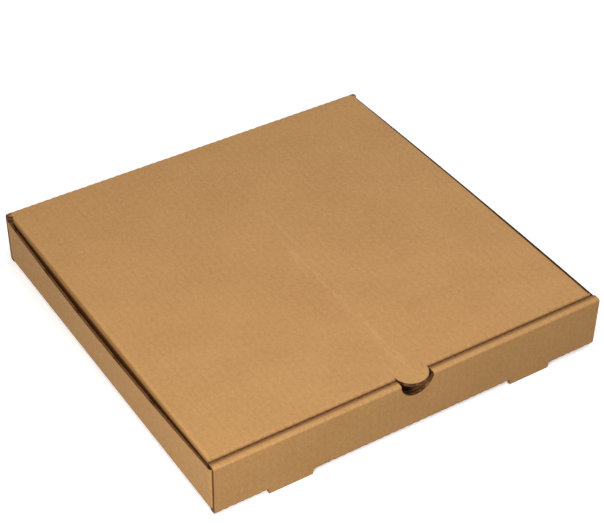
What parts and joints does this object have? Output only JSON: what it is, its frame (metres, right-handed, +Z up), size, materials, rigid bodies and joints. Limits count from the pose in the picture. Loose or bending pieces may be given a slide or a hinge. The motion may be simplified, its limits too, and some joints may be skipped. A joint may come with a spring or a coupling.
{
  "type": "pizza box",
  "caption": "Square flat box of brown corrugated board with a hinged lid, front thumb tab and notch, roll-over front wall and low front feet.",
  "frame": {"origin": "centre of the base panel's underside", "axes": "+X to the right along the front wall as seen from the front, +Y from the front wall to the hinge, +Z up"},
  "size_m": [0.337, 0.3341, 0.0493],
  "materials": {
    "kraft_board": "matte brown kraft liner"
  },
  "bodies": {
    "tray": {"tray": "kraft_board"},
    "lid": {"lid": "kraft_board"}
  },
  "joints": [
    {"name": "lid_hinge", "type": "hinge", "parent": "tray", "child": "lid", "pos_m": [0, 0.16441, 0.04461], "axis": [-1, 0, 0], "range_deg": [0, 180]}
  ]
}
